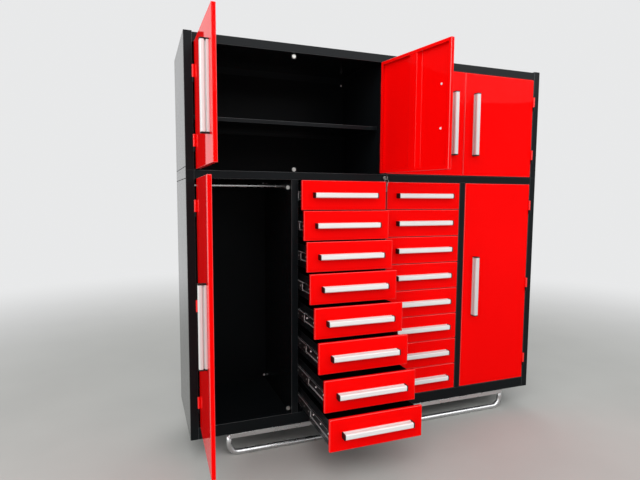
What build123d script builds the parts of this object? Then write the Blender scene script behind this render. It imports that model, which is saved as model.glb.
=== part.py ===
from build123d import *
from math import cos, radians, sin
import os

os.makedirs("parts", exist_ok=True)

# A floor-standing workshop cabinet on bent-tube skids: a lower unit with a locker at each end and two
# columns of drawers between them, and an upper unit with four doors.
# Millimetres. X runs along the width, Y from the front to the wall, Z up from the floor, with the origin
# on the floor under the middle of the carcass.

# Carcass
width = 2000
depth = 535
skid_height = 120
bottom_rail_height = 57
lower_opening_height = 1170
mid_rail_height = 35.5
upper_opening_height = 562
top_rail_height = 39
post_rise = 5
post_width = 38
locker_post_width = 34
centre_post_width = 27
upper_post_width = 22
jamb_depth = 31
sheet = 1.2
fold_lip = 10
return_gap = 2
back_flange = 20
top_back_flange = 36
floor_drop = 12
base_return = 40
cut_overrun = 2

# Shelves and hanging rods
shelf_top_above_floor = 251
shelf_setback = 70
shelf_lip = 18
rod_radius = 10
rod_drop = 24
rod_setback = 285

# Doors
door_gap = 3
door_depth = 18
door_lip = 15
stiffener_width = 56
stiffener_flange = 16
stiffener_taper = 5
upper_door_angles = (89, 101, 0, 0)
locker_door_angles = (91.5, 0)

# Lift-off hinges: the pin stands in the frame half, and the door's knuckle turns on it
hinge_radius = 5
hinge_stand_off = 5.8
hinge_pin_radius = 2.5
hinge_pin_clearance = 0.05
knuckle_sides = 8
door_knuckle_length = 55
frame_knuckle_length = 22
hinge_play = 0.2
hinge_leaf = 1.2
hinge_leaf_depth = 17
upper_hinge_shares = (0.772, 0.228)
locker_hinge_shares = (0.895, 0.5, 0.105)

# Pull handles: a grooved aluminium extrusion between two plastic end caps
handle_length = 340
handle_width = 25
handle_base = 10
handle_groove = 7
handle_bar = 16
handle_neck = 10
handle_chamfer = 4
cap_length = 5
cap_overhang = 1
upper_handle_inset = 68
locker_handle_inset = 75

# Drawers
drawer_count = 8
front_depth = 15
front_lip = 16
tray_sheet = 1
tray_depth = 468
tray_height = 112
tray_rise = 13
open_shares = (0.111, 0.184, 0.283, 0.390, 0.535, 0.662, 0.825, 0.969)

# Telescopic slides: cabinet, middle and drawer members nested in one another
slide_length = 450
slide_travel = 440
slide_width = 12.7
slide_height = 45
slide_sheet = 1.2
slide_reach = 8.6
slide_clearance = 0.3
slide_setback = 22

# Magnetic catches
magnet_radius = 10
magnet_length = 6
magnet_sides = 16
magnet_clearance = 0.3
catch_tab_width = 24
catch_tab_height = 26
locker_catch_inset = 37
locker_catch_rise = 20

# Lock
lock_plug_radius = 7
lock_plug_clearance = 0.05
lock_barrel_radius = 9
lock_barrel_sides = 16
lock_rise = 2
lock_plug_rise = 1
lock_length = 24
key_gauge = 2.2
key_shank = 9
key_shank_height = 8
key_blade = 26
key_bow_radius = 11
key_bow_sides = 8
key_hole_radius = 3
key_hole_offset = 5.5
ring_radius = 11
ring_wire = 1.8
ring_seat = 0.3
ring_sides = 12

# Skid base
skid_tube_radius = 14
skid_tube_sides = 12
skid_bend = 50
skid_half_span = 816
skid_setback = 24
skid_bar_height = 22
skid_bar_gauge = 5
skid_bar_drop = 4

# Levels and planes that follow from the sizes above
front_y = -depth / 2
back_y = depth / 2 - sheet
jamb_y = front_y + jamb_depth
base_z = skid_height
lower_opening_z = base_z + bottom_rail_height
floor_z = lower_opening_z - floor_drop
mid_rail_z = lower_opening_z + lower_opening_height
seam_z = mid_rail_z + mid_rail_height
upper_opening_z = seam_z + sheet
top_rail_z = upper_opening_z + upper_opening_height
top_z = top_rail_z + top_rail_height
post_top_z = top_z + post_rise
inner_half = width / 2 - sheet
opening_half = width / 2 - post_width
bay_width = (opening_half - locker_post_width - centre_post_width / 2) / 2
locker_edge = opening_half - bay_width
locker_post_x = locker_edge - locker_post_width / 2
column_x = (centre_post_width + bay_width) / 2
upper_bay = opening_half - upper_post_width / 2
front_height = (lower_opening_height - (drawer_count + 1) * door_gap) / drawer_count
drawer_pitch = front_height + door_gap
handle_depth = handle_base + handle_groove + handle_bar
columns = {"left": -1, "right": 1}


def export_node(name, pieces):
    """Write the separate solids of one node."""
    export_step(Compound(label=name, children=pieces), f"parts/{name}.step")


def folded_outline(path, gauge):
    """Closed outline of a sheet folded along an open path, with its metal on the path's left."""
    points = [Vector(*point) for point in path]
    headings = [(end - start).normalized() for start, end in zip(points, points[1:])]
    normals = [Vector(-heading.Y, heading.X) for heading in headings]
    far_side = [points[0] + normals[0] * gauge]
    for point, before, after in zip(points[1:-1], normals, normals[1:]):
        far_side.append(point + (before + after) * (gauge / (1 + before.dot(after))))
    far_side.append(points[-1] + normals[-1] * gauge)
    return points + far_side[::-1]


def side_panel(side, bottom, top, label):
    """Side wall with its back flange and, at the front, the folded post and jamb."""
    wall_x = side * width / 2
    post_x = side * opening_half
    path = [
        (wall_x - side * back_flange, back_y),
        (wall_x, back_y),
        (wall_x, front_y),
        (post_x, front_y),
        (post_x, jamb_y),
        (post_x + side * fold_lip, jamb_y),
    ]
    with BuildPart() as panel:
        with BuildSketch(Plane.XY.offset(bottom)):
            with BuildLine():
                Polyline(*folded_outline(path, -side * sheet), close=True)
            make_face()
        extrude(amount=top - bottom)
    panel.part.label = label
    return panel.part


for unit, bottom, top in (("lower", base_z, seam_z), ("upper", seam_z, post_top_z)):
    export_node(
        f"{unit}_side_panels",
        [side_panel(side, bottom, top, f"{unit}_{name}_side") for name, side in columns.items()],
    )


# Base pan: bottom rail, stepped floor and rear rail, folded back under the cabinet for the skids
base_path = [
    (front_y + base_return, base_z),
    (front_y, base_z),
    (front_y, lower_opening_z),
    (jamb_y, lower_opening_z),
    (jamb_y, floor_z),
    (back_y, floor_z),
    (back_y, base_z),
    (back_y - base_return, base_z),
]
# Top pan of the lower unit: boxed middle rail, and the deck the upper unit stands on
lower_top_path = [
    (jamb_y, seam_z - sheet - return_gap),
    (jamb_y, mid_rail_z),
    (front_y, mid_rail_z),
    (front_y, seam_z),
    (back_y, seam_z),
    (back_y, seam_z - back_flange),
]
# Floor pan of the upper unit
upper_floor_path = [
    (back_y, seam_z + back_flange),
    (back_y, seam_z),
    (front_y, seam_z),
]
# Top pan of the upper unit: boxed top rail, and the roof
upper_top_path = [
    (jamb_y, top_z - sheet - return_gap),
    (jamb_y, top_rail_z),
    (front_y, top_rail_z),
    (front_y, top_z),
    (back_y, top_z),
    (back_y, top_z - top_back_flange),
]


def rail_pan(path, deck_top, label):
    """Pan whose rails run between the posts and whose deck reaches the side walls behind them."""
    with BuildPart() as pan:
        with BuildSketch(Plane.YZ):
            with BuildLine():
                Polyline(*folded_outline(path, -sheet), close=True)
            make_face()
        extrude(amount=opening_half, both=True)
        deck_depth = back_y - sheet - jamb_y
        with BuildSketch(Plane.XY.offset(deck_top)):
            with Locations((0, jamb_y + deck_depth / 2)):
                Rectangle(2 * inner_half, deck_depth)
        extrude(amount=-sheet)
    pan.part.label = label
    return pan.part


lock_z = mid_rail_z + mid_rail_height / 2
export_node("base_pan", [rail_pan(base_path, floor_z, "base_pan")])
export_node("upper_floor_pan", [rail_pan(upper_floor_path, seam_z + sheet, "upper_floor_pan")])
export_node("upper_top_pan", [rail_pan(upper_top_path, top_z, "upper_top_pan")])

with BuildPart() as lower_top_pan:
    add(rail_pan(lower_top_path, seam_z, "pan"))
    with BuildSketch(Plane.XZ.offset(-front_y)):
        with Locations((0, lock_z)):
            Circle(lock_barrel_radius)
    extrude(amount=-sheet - cut_overrun, mode=Mode.SUBTRACT)
export_node("lower_top_pan", [lower_top_pan.part])


# Back panels lap over the rear flanges and make one flat face against the wall
with BuildPart() as lower_back:
    with BuildSketch(Plane.XZ.offset(-back_y)):
        with Locations((0, (base_z + seam_z) / 2)):
            Rectangle(width, seam_z - base_z)
    extrude(amount=-sheet)
lower_back.part.label = "lower_back_panel"

with BuildPart() as upper_back:
    with BuildSketch(Plane.XZ.offset(-back_y)):
        with Locations((0, (seam_z + post_top_z) / 2)):
            Rectangle(width, post_top_z - seam_z)
    extrude(amount=-sheet)
upper_back.part.label = "upper_back_panel"
export_node("back_panels", [lower_back.part, upper_back.part])


def divider(x, thickness, floor, ceiling, notches, label):
    """Double wall folded round a front post, notched where the rails pass in front of it."""
    near = back_y - sheet
    path = [
        (x - thickness / 2, near),
        (x - thickness / 2, front_y),
        (x + thickness / 2, front_y),
        (x + thickness / 2, near),
    ]
    with BuildPart() as wall:
        with BuildSketch(Plane.XY.offset(floor)):
            with BuildLine():
                Polyline(*folded_outline(path, sheet), close=True)
            make_face()
        extrude(amount=ceiling - floor)
        for low, high in notches:
            with BuildSketch(Plane.XY.offset(low)):
                with Locations((x, (front_y + jamb_y) / 2)):
                    Rectangle(thickness, jamb_depth)
            extrude(amount=high - low, mode=Mode.SUBTRACT)
    wall.part.label = label
    return wall.part


deck_z = seam_z - sheet
roof_z = top_z - sheet
lower_notches = ((floor_z, lower_opening_z), (mid_rail_z, deck_z))
upper_notches = ((top_rail_z, roof_z),)
lower_posts = (
    ("left_locker_divider", -locker_post_x, locker_post_width),
    ("drawer_divider", 0, centre_post_width),
    ("right_locker_divider", locker_post_x, locker_post_width),
)
dividers = [divider(x, post, floor_z, deck_z, lower_notches, label) for label, x, post in lower_posts]
dividers.append(divider(0, upper_post_width, upper_opening_z, roof_z, upper_notches, "upper_partition"))
export_node("divider_walls", dividers)


def shelf(side, label):
    """Shelf with its four edges turned down, fixed between the side wall and the partition."""
    length = inner_half - upper_post_width / 2
    shelf_depth = back_y - sheet - front_y - shelf_setback
    middle = (side * (upper_post_width / 2 + length / 2), front_y + shelf_setback + shelf_depth / 2)
    with BuildPart() as board:
        with BuildSketch(Plane.XY.offset(upper_opening_z + shelf_top_above_floor)):
            with Locations(middle):
                Rectangle(length, shelf_depth)
        extrude(amount=-shelf_lip)
        with BuildSketch(Plane.XY.offset(upper_opening_z + shelf_top_above_floor - sheet)):
            with Locations(middle):
                Rectangle(length - 2 * sheet, shelf_depth - 2 * sheet)
        extrude(amount=-shelf_lip, mode=Mode.SUBTRACT)
    board.part.label = label
    return board.part


export_node("shelves", [shelf(side, f"{name}_shelf") for name, side in columns.items()])


def hanging_rod(side, label):
    """Round rod across a locker, fixed between the side wall and the locker's divider."""
    with BuildPart() as rod:
        with BuildSketch(Plane.YZ.offset(side * locker_edge)):
            with Locations((front_y + rod_setback, mid_rail_z - rod_drop)):
                Circle(rod_radius)
        extrude(amount=side * (inner_half - locker_edge))
    rod.part.label = label
    return rod.part


export_node("hanging_rods", [hanging_rod(side, f"{name}_hanging_rod") for name, side in columns.items()])


def skid_tube(y, label):
    """Round tube bent into a wide U that carries the cabinet."""
    with BuildPart() as tube:
        with BuildLine(Plane.XZ.offset(-y)) as route:
            FilletPolyline(
                (-skid_half_span, base_z),
                (-skid_half_span, skid_tube_radius),
                (skid_half_span, skid_tube_radius),
                (skid_half_span, base_z),
                radius=skid_bend,
            )
        with BuildSketch(Plane(origin=route.line @ 0, z_dir=route.line % 0)):
            RegularPolygon(skid_tube_radius, skid_tube_sides)
        sweep()
    tube.part.label = label
    return tube.part


def skid_bar(y, label):
    """Flat bar welded across the two legs of a skid."""
    with BuildPart() as bar:
        with BuildSketch(Plane.XY.offset(base_z - skid_bar_drop)):
            with Locations((0, y)):
                Rectangle(2 * skid_half_span, skid_bar_gauge)
        extrude(amount=-skid_bar_height)
    bar.part.label = label
    return bar.part


skids = []
for name, toward in (("front", -1), ("rear", 1)):
    tube_y = toward * (depth / 2 - skid_setback)
    skids += [
        skid_tube(tube_y, f"{name}_skid_tube"),
        skid_bar(tube_y + toward * (skid_tube_radius + skid_bar_gauge / 2), f"{name}_skid_bar"),
    ]
export_node("skid_base", skids)


def folded_pan(plane, start, face, span, height, fold, lip, label):
    """Front sheet with four returns and an inner lip all round, drawn in plan and centred in height."""
    middle = start + span / 2
    with BuildPart() as pan:
        with BuildSketch(plane):
            with Locations((middle, face + fold / 2)):
                Rectangle(span, fold)
        extrude(amount=height / 2, both=True)
        with BuildSketch(plane):
            with Locations((middle, face + fold / 2)):
                Rectangle(span - 2 * sheet, fold - 2 * sheet)
        extrude(amount=height / 2 - sheet, both=True, mode=Mode.SUBTRACT)
        with BuildSketch(plane):
            with Locations((middle, face + fold)):
                Rectangle(span - 2 * lip, 2 * sheet)
        extrude(amount=height / 2 - lip, both=True, mode=Mode.SUBTRACT)
    pan.part.label = label
    return pan.part


def pull_handle(plane, label):
    """Grooved bar and its end caps. The plane's X is across the bar and its Y is outward."""
    reach = (handle_length - 2 * cap_length) / 2
    with BuildPart() as bar:
        with BuildSketch(plane):
            with Locations((0, handle_base / 2)):
                Rectangle(handle_width, handle_base)
            with Locations((0, handle_base + handle_groove / 2)):
                Rectangle(handle_neck, handle_groove)
            with Locations((0, handle_depth - handle_bar / 2)):
                Rectangle(handle_width, handle_bar)
            chamfer(vertices().group_by(Axis.Y)[-1], handle_chamfer)
        extrude(amount=reach, both=True)
    bar.part.label = f"{label}_bar"
    pieces = [bar.part]
    for end, heading in enumerate((-1, 1), start=1):
        with BuildPart() as cap:
            with BuildSketch(plane.offset(heading * reach)):
                with Locations((0, (handle_depth + cap_overhang) / 2)):
                    Rectangle(handle_width + 2 * cap_overhang, handle_depth + cap_overhang)
                chamfer(vertices().group_by(Axis.Y)[-1], handle_chamfer)
            extrude(amount=heading * cap_length)
        cap.part.label = f"{label}_cap_{end}"
        pieces.append(cap.part)
    return pieces


def door_plane(hand, hinge_x, middle_z, angle):
    """Plan of a door: X from the hinge to the free edge, Y from its face inward, turned open by the angle."""
    swing = radians(angle)
    return Plane(
        origin=(hinge_x, front_y - hinge_stand_off, middle_z),
        x_dir=(hand * cos(swing), -sin(swing), 0),
        z_dir=(0, 0, hand),
    )


def door_knuckle(plane, hand, offset, label):
    """Knuckle that turns on the hinge pin, with the leaf welded to the door's return."""
    with BuildPart() as knuckle:
        with BuildSketch(plane.offset(hand * offset)):
            RegularPolygon(hinge_radius, knuckle_sides, major_radius=False)
            with Locations((door_gap / 2 - hinge_leaf / 2, (hinge_stand_off + hinge_leaf_depth) / 2)):
                Rectangle(hinge_leaf, hinge_stand_off + hinge_leaf_depth)
            bore = hinge_pin_radius + hinge_pin_clearance
            RegularPolygon(bore, knuckle_sides, major_radius=False, mode=Mode.SUBTRACT)
        extrude(amount=hand * door_knuckle_length)
    knuckle.part.label = label
    return knuckle.part


def frame_knuckle(plane, hand, offset, label):
    """Frame half of the hinge: knuckle, leaf on the jamb, and the pin that stands up from it."""
    with BuildPart() as half:
        with BuildSketch(plane.offset(hand * (offset - hinge_play))):
            RegularPolygon(hinge_radius, knuckle_sides, major_radius=False)
            with Locations((hinge_leaf / 2 - door_gap / 2, (hinge_stand_off + hinge_leaf_depth) / 2)):
                Rectangle(hinge_leaf, hinge_stand_off + hinge_leaf_depth)
        extrude(amount=-hand * frame_knuckle_length)
        with BuildSketch(plane.offset(hand * (offset - hinge_play))):
            Circle(hinge_pin_radius)
        extrude(amount=hand * door_knuckle_length)
    half.part.label = label
    return half.part


def stiffener(plane, start, face, span, height, label):
    """Hat channel standing upright in the middle of a door, between its lips."""
    middle = start + span / 2
    skin = face + sheet
    crown = face + door_depth - 2 * sheet
    half = stiffener_width / 2
    foot = half + stiffener_flange
    path = [
        (middle - foot, skin),
        (middle - half, skin),
        (middle - half + stiffener_taper, crown),
        (middle + half - stiffener_taper, crown),
        (middle + half, skin),
        (middle + foot, skin),
    ]
    with BuildPart() as hat:
        with BuildSketch(plane):
            with BuildLine():
                Polyline(*folded_outline(path, sheet), close=True)
            make_face()
        extrude(amount=height / 2 - sheet, both=True)
    hat.part.label = label
    return hat.part


frame_halves = []


def make_door(name, handle_name, hand, edge_x, span, bottom, height, angle, hinge_shares, handle_inset):
    """One door with its handle, and the frame halves of its hinges. edge_x is the opening's hinge side."""
    hinge_x = edge_x + hand * door_gap / 2
    middle_z = bottom + height / 2
    start = door_gap / 2
    face = hinge_stand_off
    plane = door_plane(hand, hinge_x, middle_z, angle)
    closed = door_plane(hand, hinge_x, middle_z, 0)
    pieces = [
        folded_pan(plane, start, face, span, height, door_depth, door_lip, f"{name}_pan"),
        stiffener(plane, start, face, span, height, f"{name}_stiffener"),
    ]
    for number, share in enumerate(hinge_shares, start=1):
        offset = (share - 1 / 2) * height - door_knuckle_length / 2
        pieces.append(door_knuckle(plane, hand, offset, f"{name}_knuckle_{number}"))
        frame_halves.append(frame_knuckle(closed, hand, offset, f"{name}_frame_knuckle_{number}"))
    export_node(name, pieces)
    handle_plane = Plane(
        origin=plane.from_local_coords((start + span - handle_inset, face, 0)),
        x_dir=plane.x_dir,
        z_dir=-plane.z_dir,
    )
    export_node(handle_name, pull_handle(handle_plane, handle_name))


upper_span = (upper_bay - 3 * door_gap) / 2
upper_height = upper_opening_height - 2 * door_gap
upper_edges = (
    (1, -opening_half),
    (-1, -upper_post_width / 2),
    (1, upper_post_width / 2),
    (-1, opening_half),
)
for number, ((hand, edge_x), angle) in enumerate(zip(upper_edges, upper_door_angles), start=1):
    make_door(
        f"upper_door_{number}",
        f"upper_door_handle_{number}",
        hand,
        edge_x,
        upper_span,
        upper_opening_z + door_gap,
        upper_height,
        angle,
        upper_hinge_shares,
        upper_handle_inset,
    )

for (name, side), angle in zip(columns.items(), locker_door_angles):
    make_door(
        f"locker_door_{name}",
        f"locker_door_handle_{name}",
        -side,
        side * opening_half,
        bay_width - 2 * door_gap,
        lower_opening_z + door_gap,
        lower_opening_height - 2 * door_gap,
        angle,
        locker_hinge_shares,
        locker_handle_inset,
    )
export_node("hinge_pins", frame_halves)


def catch(x, z, tab_x, tab_z, label):
    """Round magnet facing the door's lip, on a tab that stands on the frame beside it."""
    magnet_y = front_y + door_depth + magnet_clearance
    with BuildPart() as magnet:
        with BuildSketch(Plane.XZ.offset(-magnet_y)):
            with Locations((x, z)):
                RegularPolygon(magnet_radius, magnet_sides)
        extrude(amount=-magnet_length)
    with BuildPart() as tab:
        with BuildSketch(Plane.XZ.offset(-magnet_y - magnet_length)):
            with Locations((tab_x, tab_z)):
                Rectangle(catch_tab_width, catch_tab_height)
        extrude(amount=-sheet)
    magnet.part.label = f"{label}_magnet"
    tab.part.label = f"{label}_tab"
    return [magnet.part, tab.part]


catches = []
tab_half = catch_tab_height / 2
for name, side in columns.items():
    meeting_x = side * (upper_post_width + upper_bay) / 2
    upper_z = top_rail_z - tab_half
    lower_z = upper_opening_z + tab_half
    catches += catch(meeting_x, upper_z, meeting_x, upper_z, f"{name}_upper_top")
    catches += catch(meeting_x, lower_z, meeting_x, lower_z, f"{name}_upper_bottom")
    locker_x = side * (locker_edge + catch_tab_width / 2)
    high_z = mid_rail_z - locker_catch_inset
    low_z = lower_opening_z + locker_catch_rise
    catches += catch(locker_x, high_z, locker_x, high_z, f"{name}_locker_top")
    catches += catch(locker_x, low_z, locker_x, low_z, f"{name}_locker_bottom")
export_node("magnetic_catches", catches)


def slide_member(root_x, toward, z, height, y, label):
    """One channel of a telescopic slide: its web stands at root_x and its flanges reach toward the other side."""
    path = [
        (root_x + toward * slide_reach, z + height / 2),
        (root_x, z + height / 2),
        (root_x, z - height / 2),
        (root_x + toward * slide_reach, z - height / 2),
    ]
    with BuildPart() as member:
        with BuildSketch(Plane.XZ.offset(-y)):
            with BuildLine():
                Polyline(*folded_outline(path, toward * slide_sheet), close=True)
            make_face()
        extrude(amount=-slide_length)
    member.part.label = label
    return member.part


def drawer_tray(x, span, bottom, front, label):
    """Open tray folded from one sheet."""
    with BuildPart() as tray:
        with BuildSketch(Plane.XY.offset(bottom)):
            with Locations((x, front + tray_depth / 2)):
                Rectangle(span, tray_depth)
        extrude(amount=tray_height)
        with BuildSketch(Plane.XY.offset(bottom + tray_sheet)):
            with Locations((x, front + tray_depth / 2)):
                Rectangle(span - 2 * tray_sheet, tray_depth - 2 * tray_sheet)
        extrude(amount=tray_height, mode=Mode.SUBTRACT)
    tray.part.label = label
    return tray.part


slide_step = slide_sheet + slide_clearance
middle_height = slide_height - 2 * slide_step
inner_height = middle_height - 2 * slide_step
cabinet_members = []
for name, side in columns.items():
    x = side * column_x
    for number in range(1, drawer_count + 1):
        drawer = f"drawer_{name}_{number}"
        pull = open_shares[number - 1] * slide_travel if side < 0 else 0
        bottom = mid_rail_z - number * drawer_pitch
        tray_z = bottom + tray_rise
        slide_z = tray_z + tray_height / 2
        slide_y = front_y + slide_setback
        span = bay_width - 2 * door_gap
        plan = Plane(origin=(x - span / 2, front_y - pull, bottom + front_height / 2))
        pieces = [
            folded_pan(plan, 0, 0, span, front_height, front_depth, front_lip, f"{drawer}_front"),
            drawer_tray(x, bay_width - 2 * slide_width, tray_z, front_y + front_depth - pull, f"{drawer}_tray"),
        ]
        handle_plane = Plane(
            origin=(x, front_y - pull, bottom + front_height / 2),
            x_dir=(0, 0, 1),
            z_dir=(1, 0, 0),
        )
        pieces += pull_handle(handle_plane, f"{drawer}_handle")
        middle_members = []
        for hand, end in ((-1, "left"), (1, "right")):
            wall_x = x + hand * bay_width / 2
            middle_x = wall_x - hand * slide_step
            tray_x = wall_x - hand * slide_width
            cabinet_members.append(
                slide_member(wall_x, -hand, slide_z, slide_height, slide_y, f"{drawer}_{end}_cabinet_member")
            )
            middle_members.append(
                slide_member(
                    middle_x, -hand, slide_z, middle_height, slide_y - pull / 2, f"{drawer}_{end}_middle_member"
                )
            )
            pieces.append(
                slide_member(tray_x, hand, slide_z, inner_height, slide_y - pull, f"{drawer}_{end}_drawer_member")
            )
        export_node(drawer, pieces)
        export_node(f"slide_{name}_{number}", middle_members)
export_node("slide_rails", cabinet_members)


# Lock in the middle rail: a fixed sleeve, and a plug that turns in it with the key
with BuildPart() as barrel:
    with BuildSketch(Plane.XZ.offset(lock_rise - front_y)):
        with Locations((0, lock_z)):
            RegularPolygon(lock_barrel_radius, lock_barrel_sides)
            Circle(lock_plug_radius + lock_plug_clearance, mode=Mode.SUBTRACT)
    extrude(amount=-lock_rise - lock_length)
export_node("lock_barrel", [barrel.part])

plug_face = front_y - lock_rise - lock_plug_rise
bow_y = plug_face - key_shank - key_bow_radius
ring_hang = key_hole_radius - ring_wire / 2 - ring_seat
ring_z = lock_z - key_hole_offset - ring_hang - ring_radius
spare_hole_z = ring_z - ring_radius - ring_hang
spare_z = spare_hole_z - key_hole_offset
with BuildPart() as plug_and_key:
    with BuildSketch(Plane.XZ.offset(-plug_face)):
        with Locations((0, lock_z)):
            Circle(lock_plug_radius)
    extrude(amount=plug_face - front_y - lock_length)
    with BuildSketch(Plane.YZ):
        with Locations((plug_face - key_shank / 2, lock_z)):
            Rectangle(key_shank + 2 * key_gauge, key_shank_height)
        with Locations((bow_y, lock_z)):
            RegularPolygon(key_bow_radius, key_bow_sides)
        with Locations((bow_y, lock_z - key_hole_offset)):
            Circle(key_hole_radius, mode=Mode.SUBTRACT)
    extrude(amount=key_gauge / 2, both=True)
plug_and_key.part.label = "lock_plug_and_key"

with BuildPart() as key_ring:
    with BuildSketch(Plane.XZ.offset(-bow_y)):
        with Locations((0, ring_z)):
            outer = ring_radius + ring_wire / 2
            RegularPolygon(outer, ring_sides, major_radius=False, rotation=180 / ring_sides)
            RegularPolygon(outer - ring_wire, ring_sides, major_radius=False, rotation=180 / ring_sides, mode=Mode.SUBTRACT)
    extrude(amount=ring_wire / 2, both=True)
key_ring.part.label = "key_ring"

with BuildPart() as spare_key:
    with BuildSketch(Plane.YZ):
        with Locations((bow_y, spare_z)):
            RegularPolygon(key_bow_radius, key_bow_sides)
        with Locations((bow_y, spare_z - key_bow_radius - key_blade / 2)):
            Rectangle(key_shank_height, key_blade + 2 * key_gauge)
        with Locations((bow_y, spare_hole_z)):
            Circle(key_hole_radius, mode=Mode.SUBTRACT)
    extrude(amount=key_gauge / 2, both=True)
spare_key.part.label = "spare_key"
export_node("lock_key", [plug_and_key.part, key_ring.part, spare_key.part])
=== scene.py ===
import bmesh
import bpy
from math import pi, radians
from mathutils import Matrix, Vector


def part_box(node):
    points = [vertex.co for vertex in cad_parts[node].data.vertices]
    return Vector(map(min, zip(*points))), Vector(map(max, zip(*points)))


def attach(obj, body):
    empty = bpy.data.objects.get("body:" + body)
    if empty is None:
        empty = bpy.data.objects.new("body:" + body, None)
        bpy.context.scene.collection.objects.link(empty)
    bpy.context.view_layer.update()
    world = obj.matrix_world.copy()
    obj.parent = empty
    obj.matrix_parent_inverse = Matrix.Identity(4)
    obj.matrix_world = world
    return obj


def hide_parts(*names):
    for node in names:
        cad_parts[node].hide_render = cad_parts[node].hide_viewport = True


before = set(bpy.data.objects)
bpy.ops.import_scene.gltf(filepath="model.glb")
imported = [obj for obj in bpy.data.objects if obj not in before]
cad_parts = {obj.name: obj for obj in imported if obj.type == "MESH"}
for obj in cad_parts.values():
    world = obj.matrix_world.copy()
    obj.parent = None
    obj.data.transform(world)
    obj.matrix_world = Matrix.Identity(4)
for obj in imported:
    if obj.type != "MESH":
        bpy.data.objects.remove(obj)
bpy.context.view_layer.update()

# Skid base. Two round steel tubes bent into wide U shapes carry the cabinet, each with a flat bar
# welded across its legs. Tube and bar are chrome plated, and the legs are welded under the base pan.


class Shade:
    """A number that varies over a surface. Its operators add Math nodes to the finish it belongs to."""

    def __init__(self, finish, socket):
        self.finish = finish
        self.socket = socket

    def reckon(self, operation, first, second):
        return self.finish.node("ShaderNodeMath", {"operation": operation}, {0: first, 1: second})

    def __add__(self, other):
        return self.reckon("ADD", self, other)

    def __radd__(self, other):
        return self.reckon("ADD", other, self)

    def __mul__(self, other):
        return self.reckon("MULTIPLY", self, other)

    def __rmul__(self, other):
        return self.reckon("MULTIPLY", other, self)


class Finish:
    """A procedural material: one Principled shader whose inputs come from numbers, colours and nodes."""

    def __init__(self, name, **constants):
        self.material = bpy.data.materials.new(name)
        self.material.use_nodes = True
        self.tree = self.material.node_tree
        self.shader = self.tree.nodes["Principled BSDF"]
        self.spot = self.node("ShaderNodeTexCoord", output="Object")
        for socket, value in constants.items():
            self.feed(self.shader.inputs[socket.replace("_", " ")], value)

    def feed(self, socket, value):
        """A plain value, or the output of a node, into a socket."""
        if isinstance(value, Shade):
            self.tree.links.new(value.socket, socket)
        else:
            socket.default_value = value

    def node(self, kind, settings=None, sockets=None, output=0):
        """The output of a new node with these settings and inputs."""
        made = self.tree.nodes.new(kind)
        for name, setting in (settings or {}).items():
            setattr(made, name, setting)
        for key, value in (sockets or {}).items():
            self.feed(made.inputs[key], value)
        return Shade(self, made.outputs[output])

    def grain(self, size, detail=2.0, stretch=(1, 1, 1)):
        """Noise whose features are about this many metres across, drawn out along the axes given."""
        scale = tuple(1 / (size * axis) for axis in stretch)
        place = self.node("ShaderNodeMapping", {}, {"Vector": self.spot, "Scale": scale})
        return self.node("ShaderNodeTexNoise", {}, {"Vector": place, "Scale": 1.0, "Detail": detail})

    def tint(self, share, first, second):
        """Colour between two colours."""
        first_colour, second_colour, mixed_colour = 6, 7, 2
        sockets = {0: share, first_colour: first, second_colour: second}
        return self.node("ShaderNodeMix", {"data_type": "RGBA"}, sockets, mixed_colour)

    def band(self, value, low, high):
        """0 below the low value, 1 above the high one, smooth between."""
        return self.node(
            "ShaderNodeMapRange",
            {"interpolation_type": "SMOOTHSTEP"},
            {"Value": value, "From Min": low, "From Max": high},
        )

    def gloss(self, least, most):
        """Clear gloss that grows where the surface is seen nearly edge-on."""
        starts, ends = 0.45, 0.85
        facing = self.node("ShaderNodeLayerWeight", {}, {"Blend": 0.5}, "Facing")
        weight = least + (most - least) * self.band(facing, starts, ends)
        self.feed(self.shader.inputs["Coat Weight"], weight)

    def coat(self, colour, roughness, height=None, rise=0.0):
        """Colour, roughness and a bump of this many metres on the shader."""
        self.feed(self.shader.inputs["Base Color"], colour)
        self.feed(self.shader.inputs["Roughness"], roughness)
        if height is not None:
            bump = self.node("ShaderNodeBump", {}, {"Height": height, "Strength": 1.0, "Distance": rise})
            self.feed(self.shader.inputs["Normal"], bump)


def solids(node):
    """The separate solids of a CAD node, largest first and equal ones from left to right."""
    same_place = 1e-5
    same_plane = radians(1)
    whole = bmesh.new()
    whole.from_mesh(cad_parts[node].data)
    bmesh.ops.remove_doubles(whole, verts=whole.verts, dist=same_place)
    bmesh.ops.dissolve_limit(whole, angle_limit=same_plane, verts=whole.verts, edges=whole.edges)
    whole.verts.index_update()
    waiting = set(whole.verts)
    pieces = []
    for start in whole.verts:
        if start not in waiting:
            continue
        waiting.remove(start)
        island = set()
        edge_of_island = [start]
        while edge_of_island:
            vert = edge_of_island.pop()
            island.add(vert.index)
            for edge in vert.link_edges:
                other = edge.other_vert(vert)
                if other in waiting:
                    waiting.remove(other)
                    edge_of_island.append(other)
        piece = whole.copy()
        piece.verts.index_update()
        stray = [vert for vert in piece.verts if vert.index not in island]
        bmesh.ops.delete(piece, geom=stray, context="VERTS")
        pieces.append(piece)
    whole.free()

    def rank(piece):
        area = sum(face.calc_area() for face in piece.faces)
        middle_x = sum(vert.co.x for vert in piece.verts) / len(piece.verts)
        return -round(area, 5), middle_x

    return sorted(pieces, key=rank)


def join(pieces):
    """Several meshes in one."""
    whole = bmesh.new()
    for piece in pieces:
        mesh = bpy.data.meshes.new("piece")
        piece.to_mesh(mesh)
        piece.free()
        whole.from_mesh(mesh)
        bpy.data.meshes.remove(mesh)
    return whole


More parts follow.
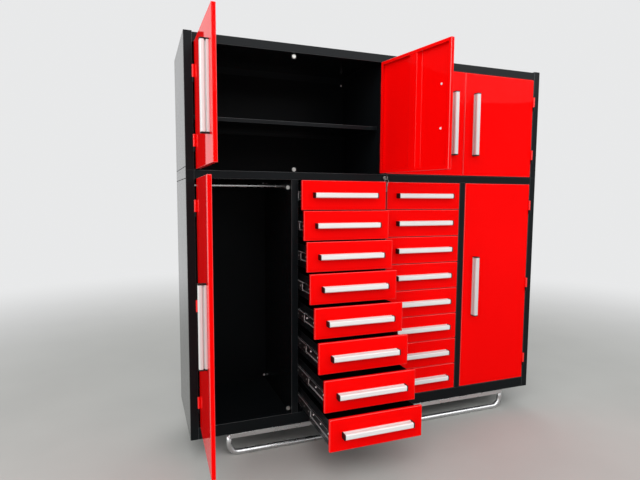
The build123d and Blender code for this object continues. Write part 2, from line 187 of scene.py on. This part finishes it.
def soften(metal, fold, rim):
    """Marks for the Bevel modifier: folds and corners take the whole radius, sheared rims a share."""
    sharp = radians(30)
    thin = 1.6 * fold
    weight = metal.edges.layers.float.new("bevel_weight_edge")
    for face in metal.faces:
        face.smooth = True
    breadth = {face: 2 * face.calc_area() / face.calc_perimeter() for face in metal.faces}
    for edge in metal.edges:
        if len(edge.link_faces) != 2:
            continue
        angle = edge.calc_face_angle_signed(0)
        edge.smooth = abs(angle) < sharp
        if angle > sharp:
            sheared = min(breadth[face] for face in edge.link_faces) < thin
            edge[weight] = rim / fold if sheared else 1.0


def dress(name, metal, finish, body, slot, nodes=(), fold=0.0, rim=0.0, segments=2, folds=None):
    """The finished piece, riding on its body and standing for its CAD nodes.

    Its edges are rounded to the fold radius, and thin rims to the rim radius where there is one. The
    rounded folds may have a finish of their own.
    """
    if fold:
        soften(metal, fold, rim or fold)
    mesh = bpy.data.meshes.new(name)
    metal.to_mesh(mesh)
    metal.free()
    piece = bpy.data.objects.new(name, mesh)
    bpy.context.scene.collection.objects.link(piece)
    mesh.materials.append(finish.material)
    if fold:
        rounding = piece.modifiers.new("rounding", "BEVEL")
        rounding.width = fold
        rounding.segments = segments
        rounding.limit_method = "WEIGHT"
        rounding.harden_normals = True
        if folds:
            mesh.materials.append(folds.material)
            rounding.material = 1
    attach(piece, body)
    if nodes:
        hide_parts(*nodes)
    return piece


chrome = Finish("chrome plate", Metallic=1.0)
smears = chrome.grain(0.06, 4.0)
chrome.coat(chrome.tint(smears, (0.54, 0.545, 0.55, 1), (0.68, 0.685, 0.69, 1)), 0.2 + 0.16 * smears)

carcass_depth = 0.535
skid_setback = 0.024
tube_radius = 0.014
tube_bend = 0.05
tube_sides = 32
bend_steps = 10
skid_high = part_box("skid_base")[1]
leg_x = skid_high.x - tube_radius
leg_run = skid_high.z - tube_radius - tube_bend
bend_x = leg_x - tube_bend
bend_z = tube_radius + tube_bend
quarter_turn = -pi / 2
# Each length of the tube: its turn, where the turn's axis lies, its straight run, its steps.
tube_path = (
    (0, 0, (0, 0, -leg_run), 1),
    (quarter_turn, -bend_x, (0, 0, 0), bend_steps),
    (0, 0, (2 * bend_x, 0, 0), 1),
    (quarter_turn, bend_x, (0, 0, 0), bend_steps),
    (0, 0, (0, 0, leg_run), 1),
)
tubes = bmesh.new()
for side in (-1, 1):
    tube_y = side * (carcass_depth / 2 - skid_setback)
    leg_end = Matrix.Translation((-leg_x, tube_y, skid_high.z))
    rim = bmesh.ops.create_circle(tubes, radius=tube_radius, segments=tube_sides, matrix=leg_end)["verts"]
    tube_end = list(rim) + [edge for edge in tubes.edges if edge.is_wire]
    for angle, hub_x, run, steps in tube_path:
        tube_end = bmesh.ops.spin(
            tubes,
            geom=tube_end,
            cent=(hub_x, tube_y, bend_z),
            axis=(0, 1, 0),
            angle=angle,
            dvec=run,
            steps=steps,
        )["geom_last"]
bmesh.ops.remove_doubles(tubes, verts=tubes.verts, dist=1e-6)
bmesh.ops.holes_fill(tubes, edges=[edge for edge in tubes.edges if edge.is_boundary])
bmesh.ops.recalc_face_normals(tubes, faces=tubes.faces)
for face in tubes.faces:
    face.smooth = len(face.verts) == 4
dress("skid_tubes", tubes, chrome, "carcass", "chrome", ["skid_base"])


def is_flat_bar(piece):
    """True for a plain bar or tab, whose solid has fewer faces than a round one."""
    return len(piece.faces) < 12


bars = join([piece for piece in solids("skid_base") if is_flat_bar(piece)])
dress("skid_bars", bars, chrome, "carcass", "chrome", ["skid_base"], fold=0.001)


# Carcass. Pans, side panels, double-walled dividers and shelves are folded from 1.2 mm steel sheet, spot
# welded together and powder coated satin black. The side panels turn round the front as posts.
black_coat = Finish("black powder coat", Specular_IOR_Level=0.04, Coat_Roughness=0.2)
black_coat.gloss(0.1, 0.95)
powder = black_coat.grain(0.0009, 1.0)
patches = black_coat.grain(0.22, 3.0)
powder_rise = 0.00003
black_coat.coat(
    black_coat.tint(patches, (0.004, 0.0052, 0.0062, 1), (0.0062, 0.008, 0.0092, 1)),
    0.36 + 0.1 * patches,
    powder,
    powder_rise,
)
# The folds take a paler, glossier black than the flat sheet: a painted highlight along the rounded edges.
black_folds_painted_highlight = Finish("black powder coat on folds, painted highlight", Specular_IOR_Level=0.6)
fold_highlight_tone = black_folds_painted_highlight.grain(0.03, 4.0)
black_folds_painted_highlight.coat(
    black_folds_painted_highlight.tint(fold_highlight_tone, (0.016, 0.019, 0.021, 1), (0.04, 0.044, 0.046, 1)), 0.26 + 0.12 * fold_highlight_tone
)
# Dull near-black for the bottom of the pressed joints: painted shade standing for the shadow in the joint.
joint_painted_shade = Finish("painted shade in joints", Specular_IOR_Level=0.0)
joint_shade_tone = joint_painted_shade.grain(0.004, 3.0)
joint_painted_shade.coat(
    joint_painted_shade.tint(joint_shade_tone, (0.004, 0.004, 0.004, 1), (0.02, 0.02, 0.019, 1)), 0.8 + 0.1 * joint_shade_tone
)
sheet_gauge = 0.0012
sheet_fold = 0.0015
sheared_rim = 0.0003
joint_levels = {"lower_side_panels": 1.345, "upper_side_panels": 1.398}
joint_width = 0.003
joint_draft = 0.0003
joint_depth = 0.0007
joint_shade_slot = 2
outside_x = 0.9999


def press_joint(side_panel, level):
    """Narrow joint pressed across the outside of a side panel, its bottom painted dull black as shade.

    The painted shade is the third of the panel's materials, after the coat and the coat on its folds.
    """

    def outside():
        return [face for face in side_panel.faces if abs(face.calc_center_median().x) > outside_x]

    for height in (level - joint_width / 2, level + joint_width / 2):
        wall = outside()
        rims = list(dict.fromkeys(edge for face in wall for edge in face.edges))
        corners = list(dict.fromkeys(vert for face in wall for vert in face.verts))
        bmesh.ops.bisect_plane(
            side_panel,
            geom=wall + rims + corners,
            plane_co=(0, 0, height),
            plane_no=(0, 0, 1),
            dist=1e-7,
        )
    strip = [face for face in outside() if abs(face.calc_center_median().z - level) < joint_width]
    bmesh.ops.inset_region(side_panel, faces=strip, thickness=joint_draft, depth=-joint_depth)
    for face in strip:
        face.material_index = joint_shade_slot


for node, names in (
    ("base_pan", ["base_pan"]),
    ("lower_side_panels", ["lower_left_side", "lower_right_side"]),
    ("lower_top_pan", ["lower_top_pan"]),
    ("upper_floor_pan", ["upper_floor_pan"]),
    ("upper_side_panels", ["upper_left_side", "upper_right_side"]),
    ("upper_top_pan", ["upper_top_pan"]),
    ("divider_walls", ["divider_1", "divider_2", "divider_3", "upper_partition"]),
    ("shelves", ["left_shelf", "right_shelf"]),
):
    for name, metal in zip(names, solids(node)):
        if node in joint_levels:
            press_joint(metal, joint_levels[node])
        sheet = dress(
            name,
            metal,
            black_coat,
            "carcass",
            "carcass_black",
            [node],
            fold=sheet_fold,
            rim=sheared_rim,
            folds=black_folds_painted_highlight,
        )
        if node in joint_levels:
            sheet.data.materials.append(joint_painted_shade.material)

# The back sheets take a darker, duller copy of the black coat: painted shade for the depths of the
# cupboards and lockers.
shaded_back_coat = Finish("black powder coat darkened as painted shade", Specular_IOR_Level=0.02, Coat_Roughness=0.3)
shaded_back_coat.gloss(0.02, 0.5)
sprayed = shaded_back_coat.grain(0.0012, 1.0)
bands = shaded_back_coat.grain(0.3, 3.0)
shaded_back_coat.coat(
    shaded_back_coat.tint(bands, (0.0035, 0.0042, 0.0048, 1), (0.006, 0.0072, 0.008, 1)),
    0.42 + 0.12 * bands,
    sprayed,
    powder_rise,
)


def plate(low, high):
    """Flat plate between two corners."""
    low, high = Vector(low), Vector(high)
    sheet = bmesh.new()
    spread = Matrix.Translation((low + high) / 2) @ Matrix.Diagonal(high - low).to_4x4()
    bmesh.ops.create_cube(sheet, size=1.0, matrix=spread)
    return sheet


back_low, back_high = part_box("back_panels")
seam_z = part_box("lower_side_panels")[1].z
back_sheets = join(
    [
        plate(back_low, (back_high.x, back_high.y, seam_z)),
        plate((back_low.x, back_low.y, seam_z), back_high),
    ]
)
dress(
    "back_sheets",
    back_sheets,
    shaded_back_coat,
    "carcass",
    "carcass_black",
    ["back_panels"],
    fold=0.0005,
    folds=black_folds_painted_highlight,
)


# Back fixings. Bright zinc-plated socket screws hold the back sheets in the corners of the cupboards and
# the lockers.
bright_zinc = Finish("bright zinc plate", Metallic=0.2)
plated = bright_zinc.grain(0.0015, 2.0)
bright_zinc.coat(
    bright_zinc.tint(plated, (0.7, 0.71, 0.72, 1), (0.88, 0.89, 0.9, 1)), 0.22 + 0.14 * plated
)


def screw_head(place, facing, radius, height):
    """Socket screw head that sits on a surface and faces along the direction given."""
    crown_radius = 0.72 * radius
    socket_rim = 0.3 * radius
    socket_draft = 0.06 * radius
    socket_depth = 0.5 * height
    head = bmesh.new()
    bmesh.ops.create_cone(
        head, cap_ends=True, segments=16, radius1=radius, radius2=crown_radius, depth=height
    )
    crown = [face for face in head.faces if face.normal.z > 0.9]
    bmesh.ops.inset_region(head, faces=crown, thickness=socket_rim, depth=0.0)
    bmesh.ops.inset_region(head, faces=crown, thickness=socket_draft, depth=-socket_depth)
    seat = Matrix.Translation(Vector(place) + Vector(facing) * height / 2)
    turn = Vector(facing).to_track_quat("Z", "Y").to_matrix().to_4x4()
    bmesh.ops.transform(head, matrix=seat @ turn, verts=head.verts)
    return head


fixing_places = ((0.025, 1.94), (0.514, 0.19), (0.514, 1.341))
fixing_radius = 0.006
fixing_height = 0.003
fixings = []
for x, z in fixing_places:
    for side in (-1, 1):
        fixings.append(screw_head((side * x, back_low.y, z), (0, -1, 0), fixing_radius, fixing_height))
dress("back_fixings", join(fixings), bright_zinc, "carcass", "slide_steel")


# Hanging rods. A chromed steel rod crosses each locker under the middle rail, for clothes hangers.
# Each end sits in a shallow pressed cup on the locker's wall.
rod_radius = 0.01
rod_sides = 40
cup_radius = 0.0125
cup_depth = 0.006
divider_face_x = 0.50475
rod_low, rod_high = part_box("hanging_rods")
rod_middle = (rod_low + rod_high) / 2
rods = bmesh.new()


def add_round(first_x, last_x, radius):
    """Round length on the line of the rods, between two places across a locker."""
    seat = Matrix.Translation(((first_x + last_x) / 2, rod_middle.y, rod_middle.z))
    bmesh.ops.create_cone(
        rods,
        cap_ends=True,
        segments=rod_sides,
        radius1=radius,
        radius2=radius,
        depth=abs(last_x - first_x),
        matrix=seat @ Matrix.Rotation(pi / 2, 4, "Y"),
    )


for side in (-1, 1):
    inner_x = side * divider_face_x
    outer_x = side * rod_high.x
    add_round(inner_x, outer_x, rod_radius)
    add_round(inner_x, inner_x + side * cup_depth, cup_radius)
    add_round(outer_x - side * cup_depth, outer_x, cup_radius)
dress("hanging_rods_round", rods, chrome, "carcass", "chrome", ["hanging_rods"], fold=0.001, segments=3)


# Telescopic slides. Three steel channels run in one another on balls: one screwed to the cabinet, one
# in the middle, one on the drawer. The steel is zinc plated and coloured near black.
slide_zinc = Finish("slide zinc", Metallic=0.85)
rolled = slide_zinc.grain(0.004, 2.0, (1, 30, 1))
slide_zinc.coat(
    slide_zinc.tint(rolled, (0.018, 0.019, 0.02, 1), (0.05, 0.052, 0.054, 1)), 0.26 + 0.16 * rolled
)
slide_fold = 0.0008
rivet_radius = 0.0042
rivet_crown = 0.0034
rivet_proud = 0.0002
first_rivet = 0.034
rivet_pitch = 0.064
rivet_count = 6
stop_near = 0.001
stop_far = 0.007
stop_half_height = 0.013


def slide_members(name, members, body, node):
    """Rolled channels whose folds are painted bright zinc: a painted highlight along their edges."""
    dress(
        name,
        join(members),
        slide_zinc,
        body,
        "slide_steel",
        [node],
        fold=slide_fold,
        rim=sheared_rim,
        folds=bright_zinc,
    )


def extent(metal):
    """Lowest and highest corner of a mesh."""
    places = [vert.co for vert in metal.verts]
    low = Vector([min(place[axis] for place in places) for axis in range(3)])
    high = Vector([max(place[axis] for place in places) for axis in range(3)])
    return low, high


def flush_rivet(place, hand):
    """Flat rivet head, hardly proud of a slide's web."""
    head = bmesh.new()
    bmesh.ops.create_cone(
        head,
        cap_ends=True,
        segments=12,
        radius1=rivet_radius,
        radius2=rivet_crown,
        depth=2 * rivet_proud,
        matrix=Matrix.Translation(place) @ Matrix.Rotation(hand * pi / 2, 4, "Y"),
    )
    return head


slide_members("cabinet_slide_members", solids("slide_rails"), "carcass", "slide_rails")
drawer_names = [f"{side}_{number}" for side in ("left", "right") for number in range(1, 9)]
for drawer in drawer_names:
    runner = f"slide_{drawer}"
    members = solids(runner)
    boxes = [extent(member) for member in members]
    middle_x = sum(low.x + high.x for low, high in boxes) / (2 * len(boxes))
    marks = []
    for low, high in boxes:
        hand = -1 if low.x < middle_x else 1
        web_x = low.x if hand < 0 else high.x
        mid_z = (low.z + high.z) / 2
        for step in range(rivet_count):
            marks.append(flush_rivet((web_x, low.y + first_rivet + rivet_pitch * step, mid_z), hand))
        inner_x, outer_x = sorted((web_x, web_x + hand * rivet_proud))
        marks.append(
            plate(
                (inner_x, low.y + stop_near, mid_z - stop_half_height),
                (outer_x, low.y + stop_far, mid_z + stop_half_height),
            )
        )
    slide_members(f"{runner}_members", members, runner, runner)
    dress(f"{runner}_rivets", join(marks), bright_zinc, runner, "slide_steel")


# Drawers. A black tray is spot welded to a red front folded from one sheet. Each front carries a grooved
# aluminium pull between two plastic end caps.
red_enamel = Finish("red enamel", Specular_IOR_Level=0.0, Coat_Roughness=0.03)
red_enamel.gloss(0.06, 0.72)
peel = red_enamel.grain(0.0035, 2.0)
peel_rise = 0.000004
depth_of_colour = red_enamel.grain(0.3, 2.0)
red_enamel.coat(
    red_enamel.tint(depth_of_colour, (0.87, 0.001, 0.001, 1), (0.94, 0.0015, 0.0014, 1)),
    0.2 + 0.08 * depth_of_colour,
    peel,
    peel_rise,
)
# The folds take a paler, glossier red than the flat enamel: a painted highlight along the rounded edges.
red_folds_painted_highlight = Finish("red enamel on folds", Specular_IOR_Level=0.75)
fold_sheen_tone = red_folds_painted_highlight.grain(0.02, 4.0)
red_folds_painted_highlight.coat(
    red_folds_painted_highlight.tint(fold_sheen_tone, (0.78, 0.022, 0.02, 1), (0.86, 0.05, 0.046, 1)), 0.18 + 0.1 * fold_sheen_tone
)
cap_plastic = Finish("black cap plastic", Specular_IOR_Level=0.18)
moulded = cap_plastic.grain(0.0006, 1.0)
cap_plastic.coat(
    cap_plastic.tint(moulded, (0.003, 0.003, 0.0035, 1), (0.006, 0.006, 0.0065, 1)),
    0.38 + 0.1 * moulded,
    moulded,
    powder_rise,
)


def satin_aluminium(name, stretch, dull, bright):
    """Anodised aluminium with fine draw lines along the extrusion."""
    line_width = 0.0007
    line_rise = 0.00001
    finish = Finish(name, Metallic=0.2, Specular_IOR_Level=0.0)
    lines = finish.grain(line_width, 2.0, stretch)
    finish.coat(finish.tint(lines, dull, bright), 0.4 + 0.14 * lines, lines, line_rise)
    return finish


level_aluminium = satin_aluminium(
    "satin aluminium drawn level", (60, 1, 1), (0.74, 0.73, 0.715, 1), (0.84, 0.83, 0.815, 1)
)


def pull(name, handle, aluminium, body, nodes):
    """One pull handle: the grooved bar, and its two end caps."""
    bar, *caps = handle
    look = {"fold": 0.0015, "segments": 3}
    dress(f"{name}_bar", bar, aluminium, body, "handle_aluminium", nodes, rim=0.0004, **look)
    dress(f"{name}_caps", join(caps), cap_plastic, body, "carcass_black", nodes, **look)


def red_sheet(name, metal, body, fold, segments):
    """Enamelled sheet whose folds are painted a paler red: a painted highlight along its edges."""
    dress(
        name,
        metal,
        red_enamel,
        body,
        "door_red",
        [body],
        fold=fold,
        rim=sheared_rim,
        segments=segments,
        folds=red_folds_painted_highlight,
    )


pan_fold = 0.002
tray_fold = 0.001
member_screws = (0.012, 0.108, 0.204, 0.3, 0.396)
member_screw_radius = 0.0045
tray_screw_radius = 0.005
tray_screw_z = 0.058
tray_sheet = 0.001
low_head = 0.0025
highlight_strip_near = 0.002
highlight_strip_far = 0.0045
highlight_strip_end = 0.004
highlight_strip_height = 0.0003
pull_screw_reach = 0.096
for drawer in drawer_names:
    node = f"drawer_{drawer}"
    tray, front, first, second, *handle = solids(node)
    tray_low, tray_high = extent(tray)
    dress(
        f"{node}_tray",
        tray,
        black_coat,
        node,
        "carcass_black",
        [node],
        fold=tray_fold,
        rim=sheared_rim,
        folds=black_folds_painted_highlight,
    )
    red_sheet(f"{node}_front", front, node, pan_fold, 3)
    middle_x = (tray_low.x + tray_high.x) / 2
    screws_and_highlight_strips = []
    for low, high in (extent(first), extent(second)):
        hand = -1 if low.x < middle_x else 1
        web_x = (high.x if hand < 0 else low.x) + hand * sheet_gauge
        mid_z = (low.z + high.z) / 2
        for step in member_screws:
            place = (web_x, low.y + step, mid_z)
            screws_and_highlight_strips.append(screw_head(place, (hand, 0, 0), member_screw_radius, low_head))
        # Thin bright zinc strips along the inner faces of both flanges: painted highlight lines where the
        # flanges catch the light.
        near_x, far_x = sorted((web_x + hand * highlight_strip_near, web_x + hand * highlight_strip_far))
        for flange_z, inward in ((low.z + sheet_gauge, 1), (high.z - sheet_gauge, -1)):
            bottom_z, top_z = sorted((flange_z, flange_z + inward * highlight_strip_height))
            screws_and_highlight_strips.append(
                plate((near_x, low.y + highlight_strip_end, bottom_z), (far_x, high.y - highlight_strip_end, top_z))
            )
    for side in (-1, 1):
        place = (middle_x + side * pull_screw_reach, tray_low.y + tray_sheet, tray_low.z + tray_screw_z)
        screws_and_highlight_strips.append(screw_head(place, (0, 1, 0), tray_screw_radius, low_head))
    slide_members(f"{node}_slide_members", [first, second], node, node)
    dress(f"{node}_screws", join(screws_and_highlight_strips), bright_zinc, node, "slide_steel")
    pull(f"{node}_pull", handle, level_aluminium, node, [node])


# Doors. Each is a red pan folded from one sheet, with lips all round the back, a hat-shaped stiffener up
# the middle, and lift-off hinges whose knuckles drop over pins that stand on the frame.
# The upright pulls take a darker aluminium than the level ones: painted shade that keeps the pulls facing
# the side light from glaring.
shaded_upright_aluminium = satin_aluminium(
    "satin aluminium drawn upright", (1, 1, 60), (0.6, 0.595, 0.585, 1), (0.7, 0.695, 0.685, 1)
)
stiffener_fold = 0.0005
knuckle_round = 0.0019
door_screw_radius = 0.0058
door_screw_height = 0.003
door_names = [("upper_door", number) for number in (1, 2, 3, 4)]
door_names += [("locker_door", side) for side in ("left", "right")]
for kind, which in door_names:
    door = f"{kind}_{which}"
    handle_node = f"{kind}_handle_{which}"
    pan, stiffener, *knuckles = solids(door)
    handle = solids(handle_node)
    skin = max(pan.faces, key=lambda face: face.calc_area())
    outward = skin.normal.copy()
    skin_middle = skin.calc_center_median()
    red_sheet(f"{door}_pan", pan, door, pan_fold, 3)
    red_sheet(f"{door}_stiffener", stiffener, door, stiffener_fold, 2)
    red_sheet(f"{door}_knuckles", join(knuckles), door, knuckle_round, 3)
    bar_low, bar_high = extent(handle[0])
    bar_middle = (bar_low + bar_high) / 2
    inner_skin = bar_middle - outward * ((bar_middle - skin_middle).dot(outward) + sheet_gauge)
    heads = []
    for side in (-1, 1):
        place = inner_skin + Vector((0, 0, side * pull_screw_reach))
        heads.append(screw_head(place, -outward, door_screw_radius, door_screw_height))
    dress(f"{door}_pull_screws", join(heads), bright_zinc, door, "slide_steel")
    pull(f"{door}_pull", handle, shaded_upright_aluminium, door, [handle_node])
dress(
    "frame_hinge_halves",
    join(solids("hinge_pins")),
    black_coat,
    "carcass",
    "carcass_black",
    ["hinge_pins"],
    fold=knuckle_round,
    rim=sheared_rim,
    segments=3,
)


# Magnetic catches. A round magnet in a nickel-plated cup faces the lip of each door. The cup is screwed to
# a black steel tab that is welded to the frame.
nickel = Finish("nickel plate", Metallic=0.9)
turned = nickel.grain(0.002, 2.0)
nickel.coat(nickel.tint(turned, (0.29, 0.285, 0.27, 1), (0.44, 0.435, 0.42, 1)), 0.24 + 0.14 * turned)
fine_edge = 0.0004
magnet_radius = 0.0098
cup_wall = 0.0016
ring_gap = 0.0014
step_draft = 0.0003
step_depth = 0.0008
magnet_steps = ((cup_wall, 0.0), (step_draft, -step_depth), (ring_gap, 0.0), (step_draft, step_depth))
catch_parts = solids("magnetic_catches")
discs = [extent(piece) for piece in catch_parts if not is_flat_bar(piece)]
tabs = join([piece for piece in catch_parts if is_flat_bar(piece)])
dress("catch_tabs", tabs, black_coat, "carcass", "slide_steel", ["magnetic_catches"], fold=fine_edge)
magnets = bmesh.new()
for low, high in discs:
    turn = Matrix.Translation((low + high) / 2) @ Matrix.Rotation(pi / 2, 4, "X")
    cup = bmesh.ops.create_cone(
        magnets,
        cap_ends=True,
        segments=36,
        radius1=magnet_radius,
        radius2=magnet_radius,
        depth=high.y - low.y,
        matrix=turn,
    )["verts"]
    crown = list({face for vert in cup for face in vert.link_faces if face.normal.y < -0.9})
    for thickness, depth in magnet_steps:
        bmesh.ops.inset_region(magnets, faces=crown, thickness=thickness, depth=depth)
dress("catch_magnets", magnets, nickel, "carcass", "slide_steel", ["magnetic_catches"], fold=fine_edge)


# Lock. A nickel-plated cylinder lock sits in the middle rail, with a key in its turning plug. A spare key
# hangs from the key's split ring. Plug and sleeve are turned, and the keys are stamped.
lock_z = 1.36475
lock_back = 0.024 - carcass_depth / 2
plug_face = -0.003 - carcass_depth / 2
plug_radius = 0.007
plug_chamfer = 0.0006
groove_radii = (0.0022, 0.0024, 0.0028, 0.003)
groove_floor = plug_face + 0.0003
sleeve_front = plug_face + 0.001
sleeve_radius = 0.0089
sleeve_bore = 0.00705
sleeve_chamfer = 0.0004
sleeve_land = 0.0083
sleeve_shoulder = 0.0007
turning_steps = 48
bow_y = plug_face - 0.02
bow_radius = 0.0106
bow_sides = 40
hole_radius = 0.003
hole_drop = 0.0055
key_gauge = 0.0022
blade_half = 0.0038
blade_length = 0.026
blade_cuts = 11
cut_depth = 0.0016
cut_from, cut_to = 0.3, 0.97
blade_overlap = 0.0006
neck_overlap = 0.0008
ring_radius = 0.011
ring_wire = 0.0009
ring_drop = 0.0183
ring_z = lock_z - ring_drop
spare_z = ring_z - ring_drop


def spin_round(metal, centre):
    """The whole of a mesh swept once round a level axis through this place."""
    bmesh.ops.spin(
        metal,
        geom=list(metal.verts) + list(metal.edges),
        cent=centre,
        axis=(0, 1, 0),
        angle=2 * pi,
        steps=turning_steps,
        use_merge=True,
    )


def turned_part(name, outline, body, node):
    """Part turned about the axis of the lock, from the outline of its half section."""
    part = bmesh.new()
    corners = [part.verts.new((radius, y, lock_z)) for radius, y in outline]
    for pair in zip(corners, corners[1:]):
        part.edges.new(pair)
    spin_round(part, (0, 0, lock_z))
    bmesh.ops.remove_doubles(part, verts=part.verts, dist=1e-6)
    bmesh.ops.recalc_face_normals(part, faces=part.faces)
    dress(name, part, nickel, body, "lock_steel", [node], fold=0.00025)


sleeve_outline = (
    (sleeve_bore, lock_back),
    (sleeve_bore, sleeve_front + sleeve_chamfer),
    (sleeve_bore + sleeve_chamfer, sleeve_front),
    (sleeve_land, sleeve_front),
    (sleeve_radius, sleeve_front + sleeve_shoulder),
    (sleeve_radius, lock_back),
    (sleeve_bore, lock_back),
)
plug_outline = (
    (0, plug_face),
    *zip(groove_radii, (plug_face, groove_floor, groove_floor, plug_face)),
    (plug_radius - plug_chamfer, plug_face),
    (plug_radius, plug_face + plug_chamfer),
    (plug_radius, lock_back),
    (0, lock_back),
)
turned_part("lock_sleeve", sleeve_outline, "carcass", "lock_barrel")
turned_part("lock_plug", plug_outline, "lock_key", "lock_key")


def key_bow(level, hole):
    """Round stamped bow of a key, with the hole for the ring."""
    bow = bmesh.new()
    for radius, centre in ((bow_radius, level), (hole_radius, hole)):
        seat = Matrix.Translation((-key_gauge / 2, bow_y, centre)) @ Matrix.Rotation(pi / 2, 4, "Y")
        bmesh.ops.create_circle(bow, radius=radius, segments=bow_sides, matrix=seat)
    bmesh.ops.bridge_loops(bow, edges=list(bow.edges))
    raised = bmesh.ops.extrude_face_region(bow, geom=list(bow.faces), use_keep_orig=True)["geom"]
    lifted = [part for part in raised if isinstance(part, bmesh.types.BMVert)]
    bmesh.ops.translate(bow, vec=(key_gauge, 0, 0), verts=lifted)
    bmesh.ops.recalc_face_normals(bow, faces=bow.faces)
    return bow


def key_blade(top):
    """Flat blade that hangs from a bow, with cuts down one edge for the pins."""
    blade = plate(
        (-key_gauge / 2, bow_y - blade_half, top - blade_length), (key_gauge / 2, bow_y + blade_half, top)
    )
    long_edges = [edge for edge in blade.edges if edge.verts[0].co.z != edge.verts[1].co.z]
    bmesh.ops.subdivide_edgering(blade, edges=long_edges, cuts=blade_cuts, interp_mode="LINEAR")
    for vert in blade.verts:
        share = (top - vert.co.z) / blade_length
        odd = round(share * (blade_cuts + 1)) % 2
        if odd and vert.co.y < bow_y and cut_from < share < cut_to:
            vert.co.y += cut_depth
    return blade


neck = plate(
    (-key_gauge / 2, bow_y + bow_radius - neck_overlap, lock_z - blade_half),
    (key_gauge / 2, plug_face, lock_z + blade_half),
)
split_ring = bmesh.new()
wire_seat = Matrix.Translation((ring_radius, bow_y, ring_z))
bmesh.ops.create_circle(split_ring, radius=ring_wire, segments=16, matrix=wire_seat)
spin_round(split_ring, (0, bow_y, ring_z))
bmesh.ops.recalc_face_normals(split_ring, faces=split_ring.faces)
keys = join(
    [
        key_bow(lock_z, lock_z - hole_drop),
        neck,
        key_bow(spare_z, spare_z + hole_drop),
        key_blade(spare_z - bow_radius + blade_overlap),
        split_ring,
    ]
)
dress("lock_keys", keys, nickel, "lock_key", "lock_steel", ["lock_key"], fold=fine_edge)


# Studio. A pale floor fades into a white surround. Soft boxes light the cabinet from above, from the
# front, from a window's side and from behind, and the camera is where the photographer stood.
floor_radius = 40.0
haze_from, haze_to = 1.8, 6.0
wall_white = (0.81, 0.815, 0.82, 1)
wall_fill = (0.5, 0.51, 0.525, 1)
floor = bmesh.new()
bmesh.ops.create_circle(floor, cap_ends=True, radius=floor_radius, segments=96)
floor_paint = Finish("pale floor", Specular_IOR_Level=0.2)
trowel = floor_paint.grain(0.5, 5.0)
floor_paint.coat(floor_paint.tint(trowel, (0.42, 0.42, 0.4, 1), (0.5, 0.5, 0.475, 1)), 0.5 + 0.1 * trowel)
reach = floor_paint.node("ShaderNodeVectorMath", {"operation": "LENGTH"}, {0: floor_paint.spot}, "Value")
far = floor_paint.band(reach, haze_from, haze_to)
haze = floor_paint.node("ShaderNodeEmission", {}, {"Color": wall_white, "Strength": 1.0})
painted = Shade(floor_paint, floor_paint.shader.outputs[0])
blend = floor_paint.node("ShaderNodeMixShader", {}, {0: far, 1: painted, 2: haze})
floor_paint.feed(floor_paint.tree.nodes["Material Output"].inputs["Surface"], blend)
floor_mesh = bpy.data.meshes.new("floor")
floor.to_mesh(floor_mesh)
floor.free()
floor_mesh.materials.append(floor_paint.material)
floor_piece = bpy.data.objects.new("floor", floor_mesh)
bpy.context.scene.collection.objects.link(floor_piece)


class Surround(Finish):
    """The nodes of the world, made as those of a finish are."""

    def __init__(self, name):
        world = bpy.data.worlds.new(name)
        world.use_nodes = True
        bpy.context.scene.world = world
        self.tree = world.node_tree

    def ray(self, kind):
        """1 for rays of this kind, 0 for all others."""
        return self.node("ShaderNodeLightPath", output=f"Is {kind} Ray")


surround = Surround("surround")
seen = surround.ray("Camera") + surround.ray("Glossy") + surround.ray("Transmission")
shown = surround.tint(seen, wall_fill, wall_white)
surround.feed(surround.tree.nodes["Background"].inputs["Color"], shown)


def soft_light(name, place, aim, size, watts):
    """A soft box of this width and height."""
    lamp = bpy.data.lights.new(name, "AREA")
    lamp.shape = "RECTANGLE"
    lamp.size, lamp.size_y = size
    lamp.energy = watts
    box = bpy.data.objects.new(name, lamp)
    box.location = place
    box.rotation_euler = (Vector(aim) - Vector(place)).to_track_quat("-Z", "Y").to_euler()
    bpy.context.scene.collection.objects.link(box)


soft_light("roof light", place=(-1.6, -3.6, 4.6), aim=(0, -0.2, 0.9), size=(3.0, 3.0), watts=95)
soft_light("front light", place=(2.0, -4.4, 3.4), aim=(0, 0, 1.2), size=(5.0, 1.6), watts=85)
soft_light("window light", place=(-5.0, -3.0, 2.8), aim=(0, 0, 1.0), size=(5.0, 4.4), watts=160)
soft_light("rear light", place=(1.5, 4.6, 3.2), aim=(0, 0, 1.0), size=(4.0, 2.0), watts=80)

sensor_width = 36.0
picture_width = 640
focal_length = 483
eye = bpy.data.cameras.new("photographer")
eye.sensor_fit = "HORIZONTAL"
eye.sensor_width = sensor_width
eye.lens = focal_length / picture_width * sensor_width
eye.clip_end = 200.0
camera = bpy.data.objects.new("photographer", eye)
stand = Matrix.Translation((-1.1983, -2.5174, 1.26245))
right = Vector((0.93672206, -0.35003855, 0.00497964))
up = Vector((0.02613317, 0.08410447, 0.9961142))
ahead = Vector((0.34909718, 0.93295201, -0.08793013))
camera.matrix_world = stand @ Matrix((right, up, -ahead)).transposed().to_4x4()
bpy.context.scene.collection.objects.link(camera)
bpy.context.scene.camera = camera
bpy.context.scene.view_settings.view_transform = "Standard"
